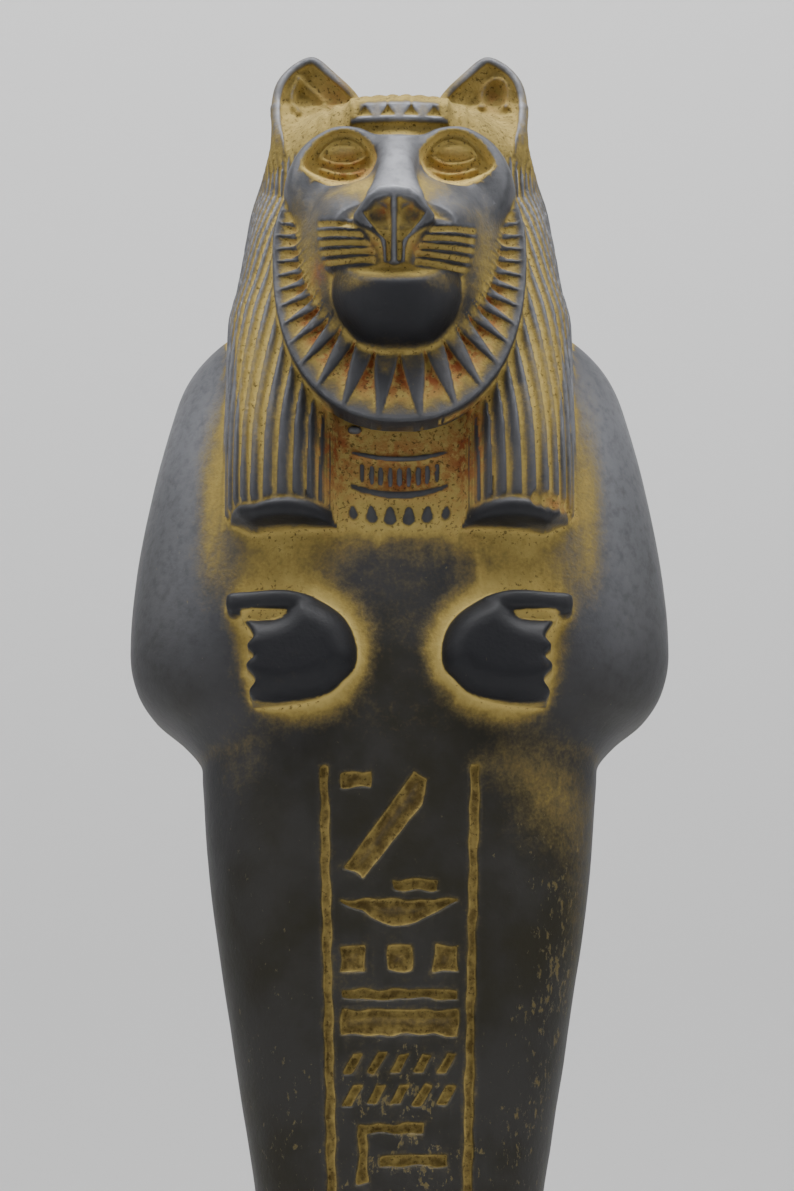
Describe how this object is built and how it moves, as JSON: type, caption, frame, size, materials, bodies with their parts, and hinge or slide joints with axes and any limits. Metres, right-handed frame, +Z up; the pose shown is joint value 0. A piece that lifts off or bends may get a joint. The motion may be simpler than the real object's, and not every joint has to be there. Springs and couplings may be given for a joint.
{
  "type": "sekhmet statue",
  "caption": "Cast-stone statuette of a lion-headed goddess in mummy form, with a strand-cut wig, a ruff, fists on the chest and a column of sunk strokes, on a low plinth.",
  "frame": {"origin": "the middle of the plinth's flat underside, on the ground", "axes": "+Z up, the figure faces -Y and +X is to the viewer's right when facing it"},
  "size_m": [0.0974, 0.079, 0.2986],
  "materials": {
    "cast_stone": "satin dark blue-grey skin over cast stone, worn silvery on the ridges, with yellow ochre and some orange-red dust in the carving"
  },
  "bodies": {
    "root": {"statue": "cast_stone"}
  },
  "joints": []
}
